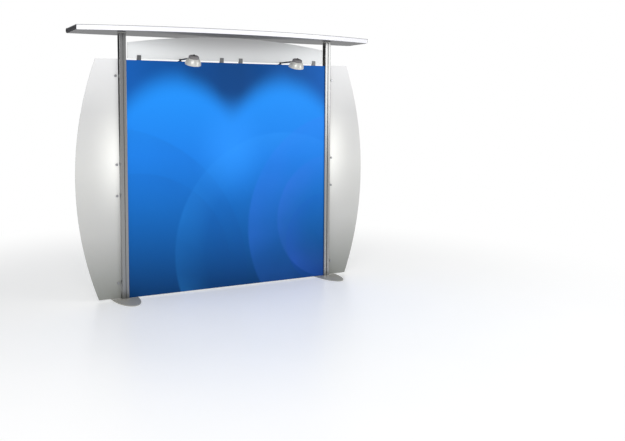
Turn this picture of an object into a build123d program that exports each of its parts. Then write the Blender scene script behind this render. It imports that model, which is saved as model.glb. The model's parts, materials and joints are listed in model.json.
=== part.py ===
from build123d import *
import os
from math import atan, cos, degrees, hypot, radians, sin

# Free-standing exhibition back wall, in millimetres. Two grooved aluminium uprights stand on oval base
# plates and carry a bowed canopy. Three rails with cam-lock ends tie them and hold a printed centre
# panel, an arched frosted header stands in clips on the top rail, a bowed frosted wing hangs outside
# each upright on standoffs, and two arm lamps reach forward from the top rail.
#
# Frame: +Z up, -Y is the front, the side a visitor faces, and left is -X as seen from there.
# The origin is on the floor under the middle of the whole object.

os.makedirs("parts", exist_ok=True)

# ---------------------------------------------------------------- driving dimensions
SIDES = ((-1, "left"), (1, "right"))

# uprights
upright_x = 1056.0
upright_width = 62.5
upright_depth = 58.0
upright_corner = 5.0
upright_top = 2370.0
core_width, core_depth, core_corner = 30.0, 26.0, 3.0
port_x, port_y, port_radius = 22.5, 20.5, 4.0

# the groove that every face of an upright and two faces of a rail have
groove_opening = 8.2
groove_lip = 2.6
groove_width = 16.0
groove_depth = 8.8

# base plates
base_width, base_length, base_thickness = 236.0, 580.0, 8.0
base_edge = 1.2             # chamfer round the upper edge

# depth stack, measured back from the front face of the centre panel
frame_depth = 16.0          # the middle plane of uprights and rails
panel_thickness = 3.0
strip_thickness = 1.5
header_thickness = 5.0
wing_front = 17.5
wing_thickness = 5.0

# rails
rail_height, rail_depth = 60.0, 23.0
chamber_height, chamber_depth = 34.0, 17.0
panel_bottom, panel_top = 9.6, 2138.5
bottom_rail_z = 50.0
middle_rail_z = 1075.0
top_rail_z = panel_top - rail_height / 2

# cam locks in the rail ends
connector_length = 50.0
connector_gap = 0.2
cam_inset = 25.0
cam_radius, cam_clearance = 6.9, 0.06
key_hole_radius = 5.5

# header and its clips
header_half_width = 1006.0
header_bottom, header_edge, header_crown = 2153.0, 2293.0, 2372.5
clip_positions = (-902.0, -98.0, 98.0, 902.0)
clip_width, clip_height, clip_depth, clip_rounding = 36.0, 45.0, 18.0, 2.0

# wings
wing_inner, wing_tip, wing_belly = 1094.0, 1294.0, 1485.0
wing_bottom, wing_top = 13.0, 2146.0
standoff_x = 1117.0
standoff_heights = (151.0, 936.0, 1215.0, 1998.0)
bracket_height, bracket_sheet, bracket_reach = 28.0, 3.0, 44.0
bracket_hole = 3.2          # radius, for the screw into the upright's groove nut
barrel_radius, barrel_length = 9.5, 12.5
cap_radius, cap_length, cap_rounding = 11.0, 8.0, 2.5
stud_radius = 4.0
cap_stud_reach, screw_stud_reach = 6.0, 5.5
standoff_head_radius, standoff_head_height, standoff_head_rounding = 6.5, 3.5, 1.2
standoff_socket_radius, standoff_socket_depth = 2.3, 2.2

# canopy
canopy_half = 1478.0
canopy_corner = 90.0        # how far forward of the centre panel the front corners are
canopy_bow = 220.0          # how much further forward the middle of the front edge is
canopy_bottom, canopy_height = 2374.0, 38.5
soffit_bottom, soffit_thickness = 2376.0, 3.0
skin_thickness, skin_overhang = 4.0, 2.0
fascia_thickness = 3.0
tube_radius, tube_wall, tube_depth = 22.5, 2.5, 264.0
tube_cap_rounding = 9.0
canopy_bolt_hole, skin_head_hole = 5.2, 12.0   # radii round the bolts and, in the skin, their heads
rib_width, rib_wall = 20.0, 2.0
rib_positions = (-1464.5, -1056.0, -528.0, 0.0, 528.0, 1056.0, 1464.5)
skin_back_edge, soffit_back_edge = 248.0, 249.5
top_plate_thickness = 6.0

# arm lamps
lamp_x = 517.0
arm_height = 2153.0
arm_reach = 254.0           # from the swivel axis to the tilt axis
arm_radius, rod_radius = 7.0, 3.8
eye_radius, eye_height = 9.0, 9.0
foot_pad_radius = 13.0
swivel_head_radius, swivel_head_height = 6.5, 3.6
swivel_socket_radius, swivel_socket_depth = 2.2, 2.4
tongue_radius, tongue_width = 7.5, 8.0
lamp_tilt = 20.0            # the glass faces down and back at this angle
shade_bulge = 3.625         # how far the leaning shade's side stands forward of its rim
head_reach, head_height = 312.0, 2094.0
shade_radius, shade_height, shade_wall = 71.5, 56.0, 1.5
housing_radius, housing_top, housing_wall = 46.0, 80.0, 2.5
reflector_top = 53.2
gland_thread, gland_hex_base, gland_hex_radius, gland_hex_height = 6.0, 3.2, 6.6, 5.0
gland_dome_radius, gland_dome_height, cord_bore = 5.4, 4.5, 3.0
holder_radius, holder_length, holder_bore, holder_bore_depth = 12.0, 22.0, 6.9, 9.0
bulb_radius, bulb_low, bulb_top = 6.5, 26.0, 62.0
glass_base, glass_thickness, glass_edge = 2.0, 3.0, 0.5
knob_notch, knob_rounding = 2.2, 0.8
swivel_radius, tilt_radius, running_gap = 3.0, 2.5, 0.06

# The object reaches from the lamp shades in front to the base plates behind. The centre panel stands
# where that depth is centred on the origin.
lamp_front = head_reach + shade_radius * cos(radians(lamp_tilt)) + shade_bulge
base_back = frame_depth + base_length / 2
wall_y = (lamp_front - base_back) / 2
frame_y = wall_y + frame_depth
rail_half_length = upright_x - upright_width / 2
rail_front = wall_y + panel_thickness + strip_thickness
tube_y = wall_y + tube_depth
tube_z = canopy_bottom + tube_radius
skin_bottom = canopy_bottom + canopy_height
rib_bottom = soffit_bottom + soffit_thickness
rib_height = skin_bottom - rib_bottom
bow_radius = (canopy_half ** 2 + canopy_bow ** 2) / (2 * canopy_bow)
bow_centre_y = wall_y - canopy_corner - canopy_bow + bow_radius


def finish(piece, node):
    """Label a piece and write it as its own file."""
    piece.part.label = node
    export_step(piece.part, f"parts/{node}.step")


# ---------------------------------------------------------------- uprights
def cut_groove(across, along, face_distance, turn):
    """Cut one T-shaped groove into the sketch, its mouth in the face at face_distance from the middle."""
    with Locations(Location((across, along), turn)):
        with Locations((face_distance - groove_lip / 2, 0)):
            Rectangle(groove_lip, groove_opening, mode=Mode.SUBTRACT)
        with Locations((face_distance - (groove_lip + groove_depth) / 2, 0)):
            Rectangle(groove_depth - groove_lip, groove_width, mode=Mode.SUBTRACT)


for side, side_name in SIDES:
    with BuildPart() as upright:
        with BuildSketch(Plane.XY.offset(base_thickness)):
            with Locations((side * upright_x, frame_y)):
                RectangleRounded(upright_width, upright_depth, upright_corner)
                RectangleRounded(core_width, core_depth, core_corner, mode=Mode.SUBTRACT)
                with GridLocations(2 * port_x, 2 * port_y, 2, 2):
                    Circle(port_radius, mode=Mode.SUBTRACT)
            for turn, half in ((0, upright_width / 2), (90, upright_depth / 2),
                               (180, upright_width / 2), (270, upright_depth / 2)):
                cut_groove(side * upright_x, frame_y, half, turn)
        extrude(amount=upright_top - base_thickness)
    finish(upright, f"{side_name}_upright")

# ---------------------------------------------------------------- base plates and end screws
screw_head_radius, screw_head_height, screw_length = 7.8, 4.2, 36.0
screw_recess = 0.2          # how far a screw's head lies below the plate's face
socket_radius, socket_depth = 2.7, 2.2
top_plate_bore = 5.0

for side, side_name in SIDES:
    with BuildPart() as base_plate:
        with BuildSketch():
            with Locations((side * upright_x, frame_y)):
                Ellipse(base_width / 2, base_length / 2)
        extrude(amount=base_thickness)
        chamfer(base_plate.faces().sort_by(Axis.Z)[-1].edges(), base_edge)
        with Locations(Location((side * upright_x, frame_y, 0), (180, 0, 0))):
            with GridLocations(2 * port_x, 2 * port_y, 2, 2):
                CounterSinkHole(port_radius + 0.2, screw_head_radius + 0.3, base_thickness)
    finish(base_plate, f"{side_name}_base_plate")

with BuildPart() as top_plates:
    for side, _ in SIDES:
        with BuildSketch(Plane.XY.offset(upright_top)):
            with Locations((side * upright_x, frame_y)):
                RectangleRounded(upright_width, upright_depth, upright_corner)
                Circle(top_plate_bore, mode=Mode.SUBTRACT)
        extrude(amount=top_plate_thickness)
        with Locations((side * upright_x, frame_y, upright_top + top_plate_thickness)):
            with GridLocations(2 * port_x, 2 * port_y, 2, 2):
                CounterSinkHole(port_radius + 0.2, screw_head_radius + 0.3, top_plate_thickness)
finish(top_plates, "upright_top_plates")

with BuildPart() as end_screws:
    for side, _ in SIDES:
        for height, flip in ((screw_recess, 0), (upright_top + top_plate_thickness - screw_recess, 180)):
            with Locations(Location((side * upright_x, frame_y, height), (flip, 0, 0))):
                with GridLocations(2 * port_x, 2 * port_y, 2, 2):
                    Cone(screw_head_radius, port_radius - 0.1, screw_head_height,
                         align=(Align.CENTER, Align.CENTER, Align.MIN))
                    Cylinder(port_radius - 0.1, screw_length, align=(Align.CENTER, Align.CENTER, Align.MIN))
                    Cylinder(socket_radius, socket_depth, align=(Align.CENTER, Align.CENTER, Align.MIN),
                             mode=Mode.SUBTRACT)
finish(end_screws, "upright_end_screws")

# ---------------------------------------------------------------- rails
RAILS = ((bottom_rail_z, "bottom"), (middle_rail_z, "middle"), (top_rail_z, "top"))
cam_x = rail_half_length - cam_inset
tongue_height = 24.0
tongue_neck = groove_lip + 0.4
tongue_head_x, tongue_head_length = groove_lip + 2.4, 4.0

for rail_z, rail_name in RAILS:
    section = Plane(origin=(-rail_half_length, frame_y, rail_z), x_dir=(0, 1, 0), z_dir=(1, 0, 0))
    with BuildPart() as rail:
        with BuildSketch(section):
            RectangleRounded(rail_depth, rail_height, 1.5)
            Rectangle(chamber_depth, chamber_height, mode=Mode.SUBTRACT)
            for turn in (90, 270):
                cut_groove(0, 0, rail_height / 2, turn)
        extrude(amount=2 * rail_half_length)
        with BuildSketch(Plane.XZ.offset(-(frame_y + rail_depth / 2))):
            with Locations((-cam_x, rail_z), (cam_x, rail_z)):
                Circle(key_hole_radius)
        extrude(amount=rail_depth / 2, mode=Mode.SUBTRACT)
    finish(rail, f"{rail_name}_rail")

with BuildPart() as connectors:
    for rail_z, _ in RAILS:
        for side, _ in SIDES:
            end = side * rail_half_length
            with Locations((end - side * connector_length / 2, frame_y, rail_z)):
                Box(connector_length, chamber_depth - connector_gap, chamber_height - connector_gap)
            with Locations((end + side * tongue_neck / 2, frame_y, rail_z)):
                Box(tongue_neck, groove_opening - connector_gap, tongue_height)
            with Locations((end + side * tongue_head_x, frame_y, rail_z)):
                Box(tongue_head_length, groove_width - 1, tongue_height)
            with BuildSketch(Plane.XZ.offset(-(frame_y + chamber_depth))):
                with Locations((side * cam_x, rail_z)):
                    Circle(cam_radius + cam_clearance)
            extrude(amount=2 * chamber_depth, mode=Mode.SUBTRACT)
finish(connectors, "rail_connectors")

cam_length = chamber_depth - 0.6
cam_hex, cam_hex_depth = 3.0, 8.0
crescent_radius, crescent_depth = 3.2, 5.0
mark_height, mark_width, mark_length = 4.4, 1.2, 2.0
for rail_z, rail_name in RAILS:
    for side, side_name in SIDES:
        back = frame_y + cam_length / 2
        with BuildPart() as cam:
            with BuildSketch(Plane.XZ.offset(-back)):
                with Locations((side * cam_x, rail_z)):
                    Circle(cam_radius)
            extrude(amount=cam_length)
            with BuildSketch(Plane.XZ.offset(-back)):
                with Locations((side * cam_x, rail_z)):
                    RegularPolygon(cam_hex, 6, major_radius=False)
            extrude(amount=cam_hex_depth, mode=Mode.SUBTRACT)
            # the crescent that pulls the tongue tight, and the notch in the face that shows where it is
            with BuildSketch(Plane.XZ.offset(-(frame_y - 1))):
                with Locations((side * (cam_x + cam_radius), rail_z)):
                    Circle(crescent_radius)
            extrude(amount=crescent_depth, mode=Mode.SUBTRACT)
            with BuildSketch(Plane.XZ.offset(-back)):
                with Locations((side * cam_x, rail_z + mark_height)):
                    Rectangle(mark_width, mark_length)
            extrude(amount=1, mode=Mode.SUBTRACT)
        finish(cam, f"{rail_name}_{side_name}_cam")

# ---------------------------------------------------------------- centre panel
panel_gap = 0.25            # at each side, to the uprights
strip_height, strip_end = 25.0, 50.0

with BuildPart() as panel:
    with BuildSketch(Plane.XZ.offset(-(wall_y + panel_thickness))):
        with Locations((0, (panel_bottom + panel_top) / 2)):
            Rectangle(2 * (rail_half_length - panel_gap), panel_top - panel_bottom)
    extrude(amount=panel_thickness)
finish(panel, "graphic_panel")

with BuildPart() as strips:
    for rail_z, _ in RAILS:
        with BuildSketch(Plane.XZ.offset(-rail_front)):
            with Locations((0, rail_z)):
                Rectangle(2 * (rail_half_length - strip_end), strip_height)
        extrude(amount=strip_thickness)
finish(strips, "panel_hook_strips")

# ---------------------------------------------------------------- header
header_back = frame_y + header_thickness / 2

with BuildPart() as header:
    with BuildSketch(Plane.XZ.offset(-header_back)):
        with BuildLine():
            Polyline((header_half_width, header_edge), (header_half_width, header_bottom),
                     (-header_half_width, header_bottom), (-header_half_width, header_edge))
            ThreePointArc((-header_half_width, header_edge), (0, header_crown),
                          (header_half_width, header_edge))
        make_face()
    extrude(amount=header_thickness)
finish(header, "header_panel")

clip_bolt_head, clip_bolt_head_height = 2.95, 3.0
clip_bolt_radius, clip_bolt_length = 2.5, 20.0
clip_bolt_socket, clip_bolt_socket_depth = 1.6, 2.0
header_play = 0.15          # each side of the header in its clips

with BuildPart() as clips:
    for x in clip_positions:
        with Locations((x, frame_y, panel_top)):
            Box(clip_width, clip_depth, clip_height, align=(Align.CENTER, Align.CENTER, Align.MIN))
    fillet(clips.edges().filter_by(Axis.X).group_by(Axis.Z)[-1], clip_rounding)
    for x in clip_positions:
        with Locations((x, frame_y, header_bottom)):
            Box(clip_width, header_thickness + 2 * header_play, clip_height,
                align=(Align.CENTER, Align.CENTER, Align.MIN), mode=Mode.SUBTRACT)
            Hole(clip_bolt_head + 0.1, header_bottom - panel_top)
finish(clips, "header_clips")

with BuildPart() as clip_bolts:
    for x in clip_positions:
        with Locations((x, frame_y, header_bottom - 0.1)):
            Cylinder(clip_bolt_head, clip_bolt_head_height, align=(Align.CENTER, Align.CENTER, Align.MAX))
            Cylinder(clip_bolt_radius, clip_bolt_length, align=(Align.CENTER, Align.CENTER, Align.MAX))
            Cylinder(clip_bolt_socket, clip_bolt_socket_depth, align=(Align.CENTER, Align.CENTER, Align.MAX),
                     mode=Mode.SUBTRACT)
finish(clip_bolts, "header_clip_bolts")

# ---------------------------------------------------------------- wings
wing_y = wall_y + wing_front
bracket_y = wing_y + wing_thickness + barrel_length
upright_face = upright_x + upright_width / 2

for side, side_name in SIDES:
    with BuildPart() as wing:
        with BuildSketch(Plane.XZ.offset(-(wing_y + wing_thickness))):
            with BuildLine():
                Polyline((side * wing_tip, wing_bottom), (side * wing_inner, wing_bottom),
                         (side * wing_inner, wing_top), (side * wing_tip, wing_top))
                ThreePointArc((side * wing_tip, wing_top), (side * wing_belly, (wing_bottom + wing_top) / 2),
                              (side * wing_tip, wing_bottom))
            make_face()
            with Locations(*[(side * standoff_x, z) for z in standoff_heights]):
                Circle(stud_radius + 0.2, mode=Mode.SUBTRACT)
        extrude(amount=wing_thickness)
    finish(wing, f"{side_name}_wing_panel")


def standoff_places():
    """Every standoff, as its side, the x of its axis and its height."""
    return [(side, side * standoff_x, z) for side, _ in SIDES for z in standoff_heights]


def turned(x, y_back, z, radius, length, mode=Mode.ADD):
    """A round bar along Y whose back end is at y_back."""
    with Locations(Location((x, y_back, z), (90, 0, 0))):
        Cylinder(radius, length, align=(Align.CENTER, Align.CENTER, Align.MIN), mode=mode)


with BuildPart() as brackets:
    for side, x, z in standoff_places():
        with BuildSketch(Plane.XY.offset(z - bracket_height / 2)):
            with Locations((side * upright_face, bracket_y + bracket_sheet)):
                Rectangle(bracket_reach, bracket_sheet,
                          align=(Align.MIN if side > 0 else Align.MAX, Align.MAX))
                Rectangle(bracket_sheet, bracket_y + bracket_sheet - frame_y + 11,
                          align=(Align.MIN if side > 0 else Align.MAX, Align.MAX))
        extrude(amount=bracket_height)
        turned(x, bracket_y + bracket_sheet, z, stud_radius + 0.2, bracket_sheet, mode=Mode.SUBTRACT)
        with Locations(Location((side * upright_face, frame_y, z), (0, 90, 0))):
            Cylinder(bracket_hole, 4 * bracket_sheet, mode=Mode.SUBTRACT)
finish(brackets, "wing_brackets")

with BuildPart() as barrels:
    for side, x, z in standoff_places():
        turned(x, bracket_y, z, barrel_radius, barrel_length)
        turned(x, bracket_y, z, stud_radius + 0.1, barrel_length, mode=Mode.SUBTRACT)
finish(barrels, "standoff_barrels")

with BuildPart() as caps:
    for side, x, z in standoff_places():
        turned(x, wing_y, z, cap_radius, cap_length)
    fillet(caps.edges().filter_by(GeomType.CIRCLE).group_by(Axis.Y)[0], cap_rounding)
    for side, x, z in standoff_places():
        turned(x, wing_y + wing_thickness + cap_stud_reach, z, stud_radius,
               wing_thickness + cap_stud_reach)
finish(caps, "standoff_caps")

with BuildPart() as standoff_screws:
    for side, x, z in standoff_places():
        turned(x, bracket_y + bracket_sheet + standoff_head_height, z, standoff_head_radius,
               standoff_head_height)
    fillet(standoff_screws.edges().filter_by(GeomType.CIRCLE).group_by(Axis.Y)[-1], standoff_head_rounding)
    for side, x, z in standoff_places():
        turned(x, bracket_y + bracket_sheet, z, stud_radius, bracket_sheet + screw_stud_reach)
        turned(x, bracket_y + bracket_sheet + standoff_head_height, z, standoff_socket_radius,
               standoff_socket_depth, mode=Mode.SUBTRACT)
finish(standoff_screws, "standoff_screws")

# ---------------------------------------------------------------- screws and nuts in the grooves
nut_width, nut_thickness = 14.5, 4.5
groove_screw_radius, groove_screw_reach = 3.0, 7.0
groove_screw_head, groove_screw_head_height = 5.5, 3.0
groove_screw_socket, groove_screw_socket_depth = 2.2, 2.0

# where the groove fixings sit: the point on the face the groove is in, the turn from +Z to that face's
# outward normal, and the thickness that the screw clamps
bracket_fixings = [((side * upright_face, frame_y, z), (0, side * 90, 0), bracket_sheet)
                   for side, _, z in standoff_places()]
foot_thickness = 5.0
foot_fixings = [((side * lamp_x, frame_y, panel_top), (0, 0, 0), foot_thickness) for side, _ in SIDES]
clip_fixings = [((x, frame_y, panel_top), (0, 0, 0), 0.0) for x in clip_positions]

with BuildPart() as groove_nuts:
    for place, turn, _ in bracket_fixings + foot_fixings + clip_fixings:
        with Locations(Location(place, turn)):
            with Locations((0, 0, -groove_lip)):
                Box(nut_width, nut_width, nut_thickness, align=(Align.CENTER, Align.CENTER, Align.MAX))
                Cylinder(groove_screw_radius + 0.1, nut_thickness,
                         align=(Align.CENTER, Align.CENTER, Align.MAX), mode=Mode.SUBTRACT)
finish(groove_nuts, "groove_nuts")

with BuildPart() as groove_screws:
    for place, turn, clamped in bracket_fixings + foot_fixings:
        with Locations(Location(place, turn)):
            with Locations((0, 0, clamped)):
                Cylinder(groove_screw_head, groove_screw_head_height,
                         align=(Align.CENTER, Align.CENTER, Align.MIN))
                Cylinder(groove_screw_radius, clamped + groove_screw_reach,
                         align=(Align.CENTER, Align.CENTER, Align.MAX))
            with Locations((0, 0, clamped + groove_screw_head_height)):
                Cylinder(groove_screw_socket, groove_screw_socket_depth,
                         align=(Align.CENTER, Align.CENTER, Align.MAX), mode=Mode.SUBTRACT)
finish(groove_screws, "groove_screws")

# ---------------------------------------------------------------- canopy
def bow_outline(inset, half_width, back):
    """The canopy's plan: a bowed front edge, straight ends and a straight back.

    The bowed edge is an arc about one centre, and inset makes its radius smaller. back is how far the
    back edge is behind the centre panel.
    """
    with BuildSketch() as plan:
        with Locations((0, bow_centre_y)):
            Circle(bow_radius - inset)
        with Locations((0, wall_y + back)):
            Rectangle(2 * half_width, 1000, align=(Align.CENTER, Align.MAX), mode=Mode.INTERSECT)
    return plan.sketch


def bow_band(inset, width, half_width):
    """A band of the canopy's plan that follows the bowed front edge."""
    with BuildSketch() as band:
        add(bow_outline(inset, half_width, 0))
        add(bow_outline(inset + width, canopy_half + 10, 1), mode=Mode.SUBTRACT)
    return band.sketch


with BuildPart() as fascia:
    with BuildSketch(Plane.XY.offset(canopy_bottom)):
        add(bow_band(0, fascia_thickness, canopy_half - fascia_thickness))
    extrude(amount=canopy_height)
finish(fascia, "canopy_fascia")

with BuildPart() as front_rail:
    with BuildSketch(Plane.XY.offset(rib_bottom)):
        add(bow_band(fascia_thickness + 0.3, rib_width, canopy_half - 2 * fascia_thickness))
    extrude(amount=rib_height)
    with BuildSketch(Plane.XY.offset(rib_bottom + rib_wall)):
        add(bow_band(fascia_thickness + 0.3 + rib_wall, rib_width - 2 * rib_wall,
                     canopy_half - 4 * fascia_thickness))
    extrude(amount=rib_height - 2 * rib_wall, mode=Mode.SUBTRACT)
finish(front_rail, "canopy_front_rail")

with BuildPart() as soffit:
    with BuildSketch(Plane.XY.offset(soffit_bottom)):
        add(bow_outline(fascia_thickness + 0.3, canopy_half - fascia_thickness - 0.3, soffit_back_edge))
        with Locations((-upright_x, frame_y), (upright_x, frame_y)):
            Circle(canopy_bolt_hole, mode=Mode.SUBTRACT)
    extrude(amount=soffit_thickness)
finish(soffit, "canopy_soffit")

with BuildPart() as top_skin:
    with BuildSketch(Plane.XY.offset(skin_bottom)):
        add(bow_outline(-skin_overhang, canopy_half, skin_back_edge))
        with Locations((-upright_x, frame_y), (upright_x, frame_y)):
            Circle(skin_head_hole, mode=Mode.SUBTRACT)
    extrude(amount=skin_thickness)
finish(top_skin, "canopy_top_skin")

with BuildPart() as end_plates:
    for side, _ in SIDES:
        outer = side * canopy_half
        with BuildSketch(Plane(origin=(outer, 0, 0), x_dir=(0, 1, 0), z_dir=(1, 0, 0))):
            with Locations((wall_y - canopy_corner + 0.3, canopy_bottom)):
                Rectangle(canopy_corner + 246, canopy_height, align=(Align.MIN, Align.MIN))
            with Locations((tube_y, tube_z)):
                Circle(tube_radius + 0.3, mode=Mode.SUBTRACT)
        extrude(amount=-side * fascia_thickness)
finish(end_plates, "canopy_end_plates")

with BuildPart() as ribs:
    for x in rib_positions:
        with Locations((x, tube_y - tube_radius - 0.5, rib_bottom)):
            Box(rib_width, 700, rib_height, align=(Align.CENTER, Align.MAX, Align.MIN))
    for x in rib_positions:
        with Locations((x, tube_y, rib_bottom + rib_wall)):
            Box(rib_width - 2 * rib_wall, 800, rib_height - 2 * rib_wall,
                align=(Align.CENTER, Align.MAX, Align.MIN), mode=Mode.SUBTRACT)
    # the front ends are cut to the bow of the front rail
    with BuildSketch(Plane.XY.offset(rib_bottom)):
        Rectangle(2 * canopy_half, 2000)
        add(bow_outline(fascia_thickness + 0.6 + rib_width, canopy_half, tube_depth), mode=Mode.SUBTRACT)
    extrude(amount=rib_height, mode=Mode.SUBTRACT)
    with Locations((-upright_x, frame_y, rib_bottom), (upright_x, frame_y, rib_bottom)):
        Cylinder(canopy_bolt_hole, rib_height, align=(Align.CENTER, Align.CENTER, Align.MIN),
                 mode=Mode.SUBTRACT)
finish(ribs, "canopy_ribs")

tube_half = canopy_half - 6
with BuildPart() as back_tube:
    with BuildSketch(Plane(origin=(-tube_half, tube_y, tube_z), x_dir=(0, 1, 0), z_dir=(1, 0, 0))):
        Circle(tube_radius)
        Circle(tube_radius - tube_wall, mode=Mode.SUBTRACT)
    extrude(amount=2 * tube_half)
finish(back_tube, "canopy_back_tube")

cap_flange, cap_spigot = 13.0, 22.0
with BuildPart() as tube_caps:
    for side, _ in SIDES:
        face = Plane(origin=(side * tube_half, tube_y, tube_z), x_dir=(0, 1, 0), z_dir=(side, 0, 0))
        with BuildSketch(face):
            Circle(tube_radius)
        extrude(amount=cap_flange)
    fillet(tube_caps.edges().filter_by(GeomType.CIRCLE).group_by(Axis.X)[0], tube_cap_rounding)
    fillet(tube_caps.edges().filter_by(GeomType.CIRCLE).group_by(Axis.X)[-1], tube_cap_rounding)
    for side, _ in SIDES:
        face = Plane(origin=(side * tube_half, tube_y, tube_z), x_dir=(0, 1, 0), z_dir=(side, 0, 0))
        with BuildSketch(face):
            Circle(tube_radius - tube_wall - 0.1)
        extrude(amount=-cap_spigot)
finish(tube_caps, "canopy_tube_caps")

bolt_head, bolt_head_height = 8.0, 3.9
bolt_radius, bolt_reach = 4.95, 8.0
with BuildPart() as canopy_bolts:
    for side, _ in SIDES:
        with BuildSketch(Plane.XY.offset(skin_bottom)):
            with Locations((side * upright_x, frame_y)):
                RegularPolygon(bolt_head, 6, major_radius=False)
        extrude(amount=bolt_head_height)
        with Locations((side * upright_x, frame_y, skin_bottom)):
            Cylinder(bolt_radius, rib_height + soffit_thickness + top_plate_thickness + bolt_reach,
                     align=(Align.CENTER, Align.CENTER, Align.MAX))
finish(canopy_bolts, "canopy_bolts")

# ---------------------------------------------------------------- lamp feet and swivels
boss_top = arm_height - eye_height / 2 - 0.3

with BuildPart() as lamp_feet:
    for side, _ in SIDES:
        x = side * lamp_x
        with BuildSketch(Plane.XY.offset(panel_top)):
            with Locations((x, frame_y + rail_depth / 2)):
                Rectangle(2 * foot_pad_radius, frame_depth + rail_depth / 2, align=(Align.CENTER, Align.MAX))
            with Locations((x, wall_y)):
                Circle(foot_pad_radius)
        extrude(amount=foot_thickness)
        with Locations((x, wall_y, panel_top + foot_thickness)):
            Cylinder(eye_radius, boss_top - panel_top - foot_thickness,
                     align=(Align.CENTER, Align.CENTER, Align.MIN))
        with Locations((x, wall_y, panel_top)):
            Cylinder(swivel_radius + 0.1, 60, mode=Mode.SUBTRACT)
        with Locations((x, frame_y, panel_top)):
            Cylinder(groove_screw_radius + 0.2, 60, mode=Mode.SUBTRACT)
finish(lamp_feet, "lamp_feet")

swivel_head_bottom = arm_height + eye_height / 2 + 0.3
with BuildPart() as swivel_screws:
    for side, _ in SIDES:
        with Locations((side * lamp_x, wall_y, swivel_head_bottom)):
            Cylinder(swivel_head_radius, swivel_head_height,
                     align=(Align.CENTER, Align.CENTER, Align.MIN))
            Cylinder(swivel_radius, swivel_head_bottom - panel_top - 0.5,
                     align=(Align.CENTER, Align.CENTER, Align.MAX))
        with Locations((side * lamp_x, wall_y, swivel_head_bottom + swivel_head_height)):
            Cylinder(swivel_socket_radius, swivel_socket_depth,
                     align=(Align.CENTER, Align.CENTER, Align.MAX), mode=Mode.SUBTRACT)
finish(swivel_screws, "lamp_swivel_screws")

# ---------------------------------------------------------------- lamps
tilt_y = wall_y - arm_reach
tilt_z = arm_height
lug_gap = 0.3
gland_body = 5.0
lug_sheet = 3.0
lug_y, lug_z, lug_height = -41.2, 19.5, 9.0     # from the tilt axis to where the lugs join the housing
knob_radius, knob_height = 8.5, 11.0
lug_outer = tongue_width / 2 + lug_gap + lug_sheet

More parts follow.
